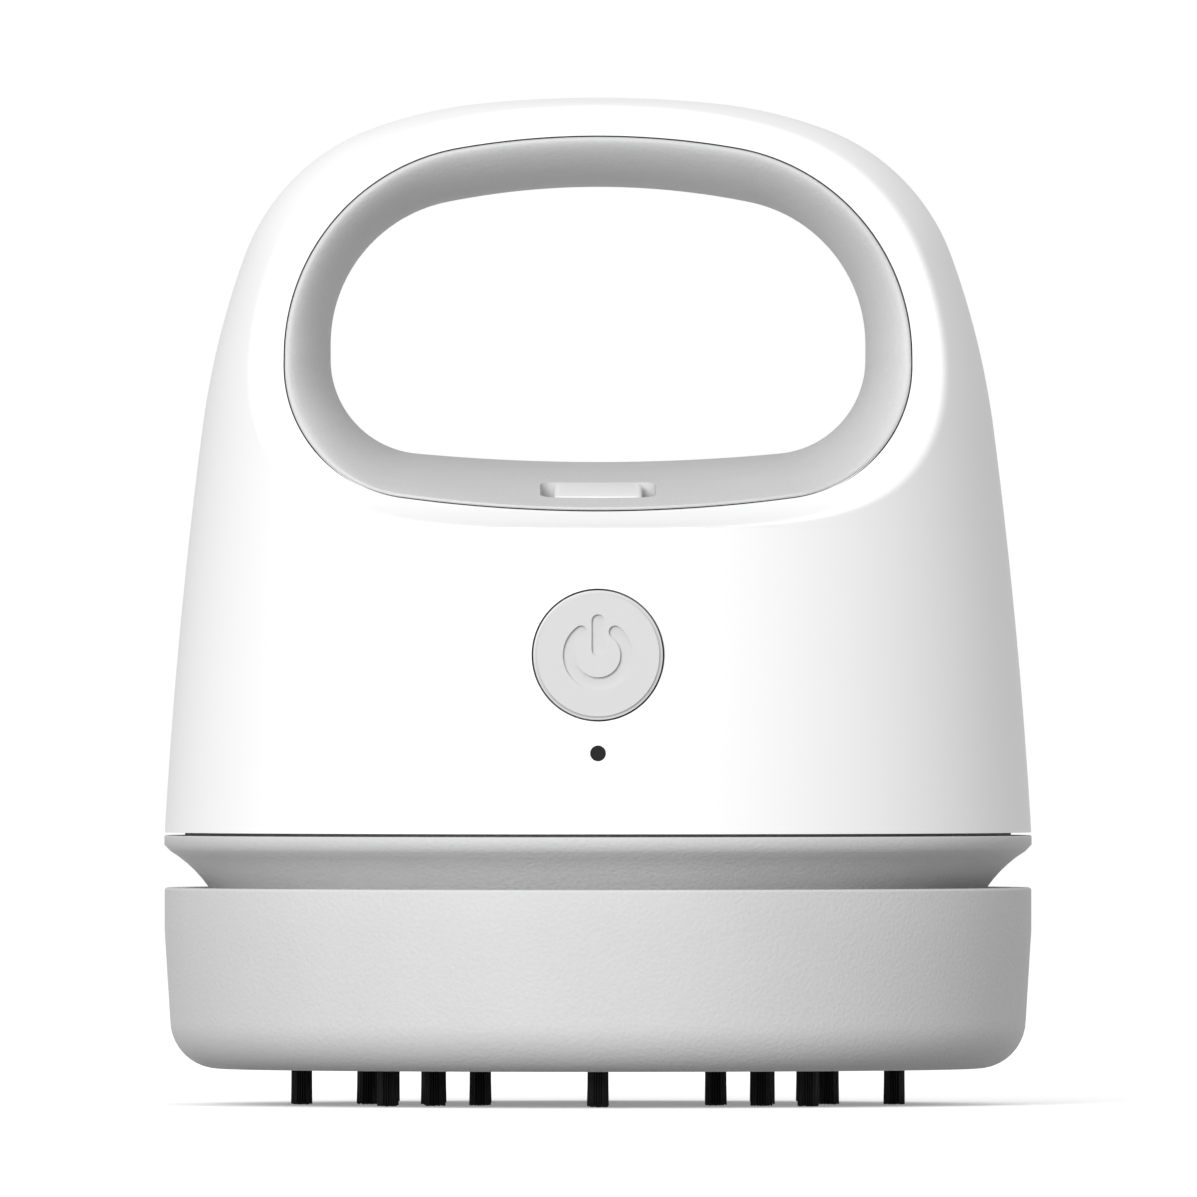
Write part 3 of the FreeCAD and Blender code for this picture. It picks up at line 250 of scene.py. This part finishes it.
# ------------------------------------------------------------------ handle opening outlines
def oval(f, shrink=0.0):
    """Right half of the opening's outline from the top to the bottom, then mirrored: f 0 is the waist, 1 the seam."""
    waist = dict(zb=65.267, Rb=197.4, zt=93.218, Rt=77.4, xs=27.16, zs=75.79, Ra=14.73, Rc=9.59)
    rim = dict(zb=60.184, Rb=147.6, zt=98.301, Rt=81.6, xs=31.86, zs=72.30, Ra=21.45, Rc=13.58)
    k = {n: waist[n] + (rim[n] - waist[n]) * f for n in waist}
    zb, zt, xs = k["zb"] + shrink, k["zt"] - shrink, k["xs"] - shrink
    Rb, Rt, Ra, Rc, Rs = k["Rb"] - shrink, k["Rt"] - shrink, k["Ra"] - shrink, k["Rc"] - shrink, 400.0
    top, low, side = (0.0, zt - Rt), (0.0, zb + Rb), (xs - Rs, k["zs"])

    def corner(c1, R1, c2, R2, r, up):
        d1, d2 = R1 - r, R2 - r
        dx, dz = c2[0] - c1[0], c2[1] - c1[1]
        dd = math.hypot(dx, dz)
        a = (d1 * d1 - d2 * d2 + dd * dd) / (2 * dd)
        hh = math.sqrt(max(d1 * d1 - a * a, 0.0))
        mx, mz = c1[0] + a * dx / dd, c1[1] + a * dz / dd
        pts = [(mx + hh * dz / dd, mz - hh * dx / dd), (mx - hh * dz / dd, mz + hh * dx / dd)]
        return max(pts, key=lambda c: c[0] + (c[1] if up else -c[1]))

    def reach(c, R, o):
        dx, dz = o[0] - c[0], o[1] - c[1]
        dd = math.hypot(dx, dz)
        return c[0] + dx / dd * R, c[1] + dz / dd * R

    ca, cc = corner(top, Rt, side, Rs, Ra, True), corner(low, Rb, side, Rs, Rc, False)
    half = path([(0, zt, (Rt, 1)), (*reach(top, Rt, ca), (Ra, 1)), (*reach(side, Rs, ca), (Rs, 1)),
                 (*reach(side, Rs, cc), (Rc, 1)), (*reach(low, Rb, cc), (Rb, 1)), (0, zb)], [34, 44, 22, 40, 60])
    back = half[1:-1][::-1] * np.array([-1, 1])
    return np.vstack([half, back])


def scoop(z, off=0.0):
    """Half depth of the body that the front and back scoops leave at height z."""
    z = np.asarray(z, float)
    up = 43.074 - np.sqrt(np.maximum((28.37 + off) ** 2 - (z - 86.958) ** 2, 0))
    r2 = 28.851 + off
    low = 43.360 - np.sqrt(np.maximum(r2 ** 2 - (z - 87.344) ** 2, 0))
    split = 87.344 - r2 * math.sin(0.934)
    out = np.where(z > 86.958, 14.704 - off, np.where(z > split, up, low))
    return np.where(z < 87.344 - r2 + 0.0005, 60.0, out)


# ------------------------------------------------------------------ white body
def turned(off):
    p = path([(0, 102.272, (118.884, 1)), (11.870, 101.678, (45.201, 1)), (23.071, 99.084, (21.665, 1)), (35.885, 86.216, (81.844, 1)),
              (40.194, 68.580, (577.882, 1)), (44.012, 27.65)], [60, 60, 90, 80, 120])
    if off:
        t = np.gradient(p, axis=0)
        t /= np.linalg.norm(t, axis=1)[:, None]
        p = p + np.stack([t[:, 1], -t[:, 0]], 1) * off
        p = p[p[:, 1] >= 27.65]
        p = np.vstack([p, [np.interp(-27.65, -p[:, 1], p[:, 0]), 27.65]])
        p[0, 0] = 0
    return p


def body_layer(off, soft):
    p = turned(off)
    low = 58.493 - off
    z = np.concatenate([np.linspace(27.65, low - 1, 32), np.linspace(low - 1, low + 0.9, 42)[1:], np.linspace(low + 0.9, low + 4, 28)[1:],
                        np.linspace(low + 4, 98.6 - off, 76)[1:]])
    r = np.interp(-z, -p[:, 1], p[:, 0])
    rt = np.linspace(r[-1], 0.25, 32)[1:]
    z = np.concatenate([z, np.interp(rt, p[:, 0], p[:, 1])])
    r = np.concatenate([r, rt])
    ys = scoop(z, off)
    ratio = np.clip(ys / np.maximum(r, 1e-6), 0.05, 1)
    crease = np.degrees(np.arcsin(ratio))
    below = z < low + 0.05
    crease = np.where(below, 86.0 - (low + 0.05 - z) * 1.0, np.minimum(crease, 86.0))
    q = 42
    s = np.linspace(0, 1, q, endpoint=False)
    rows = []
    for zi, ri, yi, ci in zip(z, r, ys, crease):
        quarter = np.concatenate([ci * (1 - (1 - s) * (0.4 + 0.6 * (1 - s))), ci + (90 - ci) * (0.4 * s + 0.6 * s * s)])
        quarter = quarter[:2 * q]
        full = np.concatenate([quarter, 180 - np.append(quarter[1:], 90)[::-1], 180 + quarter, 360 - np.append(quarter[1:], 90)[::-1]])
        a = np.radians(full)
        x, y = ri * np.cos(a), ri * np.sin(a)
        ay = np.abs(y)
        h = np.maximum(soft - np.abs(ay - yi), 0)
        ay2 = np.minimum(ay, yi) - h * h / (4 * soft)
        rows.append(np.stack([x, np.sign(y) * np.maximum(ay2, 0), np.full(len(a), zi)], 1))
    return np.array(rows)


outer, inner = body_layer(0.0, 1.3), body_layer(1.8, 0.8)
nr, nc = outer.shape[:2]
verts = np.vstack([outer.reshape(-1, 3), inner.reshape(-1, 3)])
faces = grid_faces(nr, nc) + grid_faces(nr, nc, nr * nc, flip=True)
faces += [(j, nr * nc + j, nr * nc + (j + 1) % nc, (j + 1) % nc) for j in range(nc)]
faces += [tuple((nr - 1) * nc + j for j in range(nc)), tuple(2 * nr * nc - 1 - j for j in range(nc))]
shell = make("body_shell", verts, faces)
cut(shell, prism(oval(1.0), -62, 62), prism(circle(0, 45.70, 6.70, 128), -47, -30), prism(circle(0, 35.80, 0.80, 48), -47, -30),
    prism(rounded_rect(0, 33.0, 8.94 + 0.5, 3.26 + 0.5, (3.26 + 0.5) / 2 - 0.001, 12), 30, 47))
done(shell, "upper_unit", ["top_shell"], M["white_shell"], 30)


# ------------------------------------------------------------------ grey liner halves
def liner_half(name, sign):
    W, S, R = oval(0.0), oval(1.0, 0.12), oval(1.0, 0.42)
    D = scoop(S[:, 1])
    e = np.clip((S[:, 1] - 60.5) / 8.0, 0, 1)
    power = 1.35 + (2.6 - 1.35) * e * e * (3 - 2 * e)
    rows = []
    for s in np.sin(np.linspace(0, math.pi / 2, 48)):
        g = (1 - 0.55 * e) * s ** power + 0.55 * e * (1 - math.sqrt(max(1 - s * s, 0)))
        rows.append(np.stack([W[:, 0] + (R[:, 0] - W[:, 0]) * g, sign * (0.02 + (D - 0.02) * s), W[:, 1] + (R[:, 1] - W[:, 1]) * g], 1))
    for t in (30, 60, 90):
        a = math.radians(t)
        m = R + (S - R) * math.sin(a)
        rows.append(np.stack([m[:, 0], sign * (D - 0.30 * (1 - math.cos(a))), m[:, 1]], 1))
    rows.append(np.stack([S[:, 0], sign * (D * 0.5), S[:, 1]], 1))
    rows.append(np.stack([S[:, 0], sign * np.full(len(S), 0.02), S[:, 1]], 1))
    rows = np.array(rows)
    return make(name, rows.reshape(-1, 3), grid_faces(rows.shape[0], rows.shape[1], close_rows=True))


front = liner_half("liner_front", -1)
cut(front, prism(rounded_rect(0, -23.4, 11.7, 9.2, 1.5), 60.85, 70, "z"), prism(rounded_rect(0, -23.4, 5.4, 2.4, 0.2), 57, 64, "z"))
done(front, "upper_unit", ["handle_liner_front"], M["grey_shell"], 40)
back = liner_half("liner_back", 1)
done(back, "upper_unit", ["handle_liner_back"], M["grey_shell"], 40)

# ------------------------------------------------------------------ slide knob: tapered tile with softened edges, and its stem
tile = rounded_rect(0, 0, 8.9, 8.2, 0.9, 10)
rows = []
for inset, drop in ((0.0, None), (0.0, 0.42), (0.06, 0.22), (0.16, 0.09), (0.30, 0.02), (0.45, 0.0)):
    ring = []
    for x, y in tile:
        k = 1 - inset / 4.1
        zt = 62.42 + math.tan(math.radians(9.1)) * y
        ring.append((x * k, -23.4 + y * k, 61.05 if drop is None else zt - drop))
    rows.append(ring)
n = len(tile)
v = [p for r in rows for p in r]
f = grid_faces(len(rows), n) + [tuple(range(n)), tuple((len(rows) - 1) * n + j for j in range(n))]
base = len(v)
v += [(sx * 1.3, -23.4 + sy * 0.9, z) for z in (57.75, 61.2) for sx, sy in ((-1, -1), (1, -1), (1, 1), (-1, 1))]
f += [tuple(base + i for i in q) for q in ((0, 1, 2, 3), (4, 5, 6, 7), (0, 1, 5, 4), (1, 2, 6, 5), (2, 3, 7, 6), (3, 0, 4, 7))]
done(make("knob_tile", v, f), "slider", ["slide_knob"], M["slide_grey"], 40)

# ------------------------------------------------------------------ push button with a recessed power mark
cap = lathe("button_cap", densify(path([(0, -43.05), (6.175, -43.05, (0.35, 1)), (6.525, -42.70), (6.525, -39.85), (7.5, -39.85),
                                         (7.5, -38.95), (0, -38.95)]), 1.2), 160, "y", 45.70)
slot_line = []
for r, a0, a1 in ((3.55, 126.4, 413.6), (2.25, 413.6, 126.4)):
    for k in range(65):
        a = math.radians(a0 + (a1 - a0) * k / 64)
        slot_line.append((r * math.cos(a), 45.70 + r * math.sin(a)))
    ea = math.radians(a1)
    c = (2.9 * math.cos(ea), 2.9 * math.sin(ea))
    for k in range(1, 12):
        b = ea + math.pi * k / 12 + (0 if r > 3 else math.pi)
        slot_line.append((c[0] + 0.65 * math.cos(b), 45.70 + c[1] + 0.65 * math.sin(b)))
cut(cap, prism(slot_line, -44, -42.63), prism(rounded_rect(0, 45.70 + 2.0, 1.3, 4.2, 0.649, 10), -44, -42.63))
done(cap, "button", ["power_button"], M["button_grey"], 40)

# ------------------------------------------------------------------ dust cup
cup = lathe("cup_body", path([
    (10, 5.56), (10, 10.6), (11.1, 10.6, (0.4, 1)), (11.5, 10.2), (11.5, 7.9, (1.0, -1)), (12.5, 6.9), (37.35, 6.9, (2.2, -1)), (39.55, 9.1),
    (39.55, 9.5), (37.6, 10.7), (37.6, 12.2), (39.55, 12.2), (39.55, 15.2), (41.55, 16.0), (41.55, 21.75, (0.3, 1)), (41.85, 22.05),
    (43.72, 22.05, (0.3, 1)), (44.02, 21.75), (44.02, 17.7), (43.46, 8.55, (4.95, 1)), (38.55, 3.66), (34.8, 3.66), (34.8, 5.56)]), 320)
done(cup, "dust_cup", ["base_cup"], M["grey_shell"], 30)

# ------------------------------------------------------------------ tufts as bundles of filaments
v, f = [], []
for k in range(8):
    for rad in (16.9, 23.4, 30.1):
        a = math.radians(45 * k)
        cx, cy = rad * math.cos(a), rad * math.sin(a)
        for i in range(-5, 6):
            for j in range(-5, 6):
                px, py = 0.235 * (i + 0.5 * (j % 2)), 0.235 * 0.866 * j
                if math.hypot(px, py) > 1.0:
                    continue
                tip = random.uniform(0, 0.14) if (i, j) != (0, 0) else 0.0
                sx, sy = px * 0.06 + random.uniform(-0.03, 0.03), py * 0.06 + random.uniform(-0.03, 0.03)
                b = len(v)
                for z, w, g in ((5.4, 0.0, 0.105), (2.2, 0.35, 0.105), (tip + 0.08, 1.0, 0.10), (tip, 1.0, 0.055)):
                    for q in range(6):
                        t = math.pi * q / 3
                        v.append((cx + px + sx * w + g * math.cos(t), cy + py + sy * w + g * math.sin(t), z))
                f += grid_faces(4, 6, b) + [tuple(b + q for q in range(6)), tuple(b + 18 + q for q in range(6))]
done(make("brush_filaments", v, f), "dust_cup", ["brush_tufts"], M["bristle"], 60)

for name, o in NODES.items():
    if not o.hide_render:
        w = o.modifiers.new("weld", "WELD")
        w.merge_threshold = 1e-6

# ------------------------------------------------------------------ floor, light, camera
bpy.ops.mesh.primitive_circle_add(vertices=128, radius=2.4, fill_type="NGON", location=(0, 0, 0))
floor = bpy.context.object
floor.name = "floor"
floor.data.materials.append(surface("floor_paint", (0.93, 0.93, 0.93), 0.85, 2.0, 0.05, 0.00002, 0.004, spec=0.1))
glow = floor.data.materials[0].node_tree.nodes["Principled BSDF"]
glow.inputs["Emission Color"].default_value, glow.inputs["Emission Strength"].default_value = (1, 1, 1, 1), 0.25
floor.visible_diffuse = floor.visible_shadow = False

world = bpy.data.worlds.new("studio")
bpy.context.scene.world = world
world.use_nodes = True
nt = world.node_tree
nt.nodes.clear()
wo = nt.nodes.new("ShaderNodeOutputWorld")
mx = nt.nodes.new("ShaderNodeMixShader")
lp = nt.nodes.new("ShaderNodeLightPath")
b1, b2 = nt.nodes.new("ShaderNodeBackground"), nt.nodes.new("ShaderNodeBackground")
wt, ws, wr = nt.nodes.new("ShaderNodeTexCoord"), nt.nodes.new("ShaderNodeSeparateXYZ"), nt.nodes.new("ShaderNodeMapRange")
nt.links.new(wt.outputs["Generated"], ws.inputs[0])
nt.links.new(ws.outputs["Z"], wr.inputs["Value"])
wr.inputs["From Min"].default_value, wr.inputs["From Max"].default_value = -0.6, 0.6
wr.inputs["To Min"].default_value, wr.inputs["To Max"].default_value = 0.24, 1.10
nt.links.new(wr.outputs["Result"], b1.inputs["Strength"])
b2.inputs["Color"].default_value, b2.inputs["Strength"].default_value = (1, 1, 1, 1), 1.0
nt.links.new(lp.outputs["Is Camera Ray"], mx.inputs[0])
nt.links.new(b1.outputs[0], mx.inputs[1])
nt.links.new(b2.outputs[0], mx.inputs[2])
nt.links.new(mx.outputs[0], wo.inputs[0])


def area(name, loc, aim, size, power):
    d = bpy.data.lights.new(name, "AREA")
    d.shape, d.size, d.energy = "DISK", size, power
    o = bpy.data.objects.new(name, d)
    bpy.context.scene.collection.objects.link(o)
    o.location = loc
    v = np.array(aim, float) - np.array(loc, float)
    from mathutils import Vector
    o.rotation_euler = Vector(v).to_track_quat("-Z", "Y").to_euler()


area("key", (-0.62, -1.88, 0.58), (0, 0, 0.05), 0.9, 33)

cam = bpy.data.cameras.new("camera")
cam.lens, cam.sensor_width = 1500, 36
cam.clip_start, cam.clip_end = 0.5, 50
co = bpy.data.objects.new("camera", cam)
bpy.context.scene.collection.objects.link(co)
co.location = (0.00005, -5.067, 0.0514)
co.rotation_euler = (math.radians(90), 0, 0)
bpy.context.scene.camera = co
bpy.context.scene.view_settings.view_transform = "Standard"
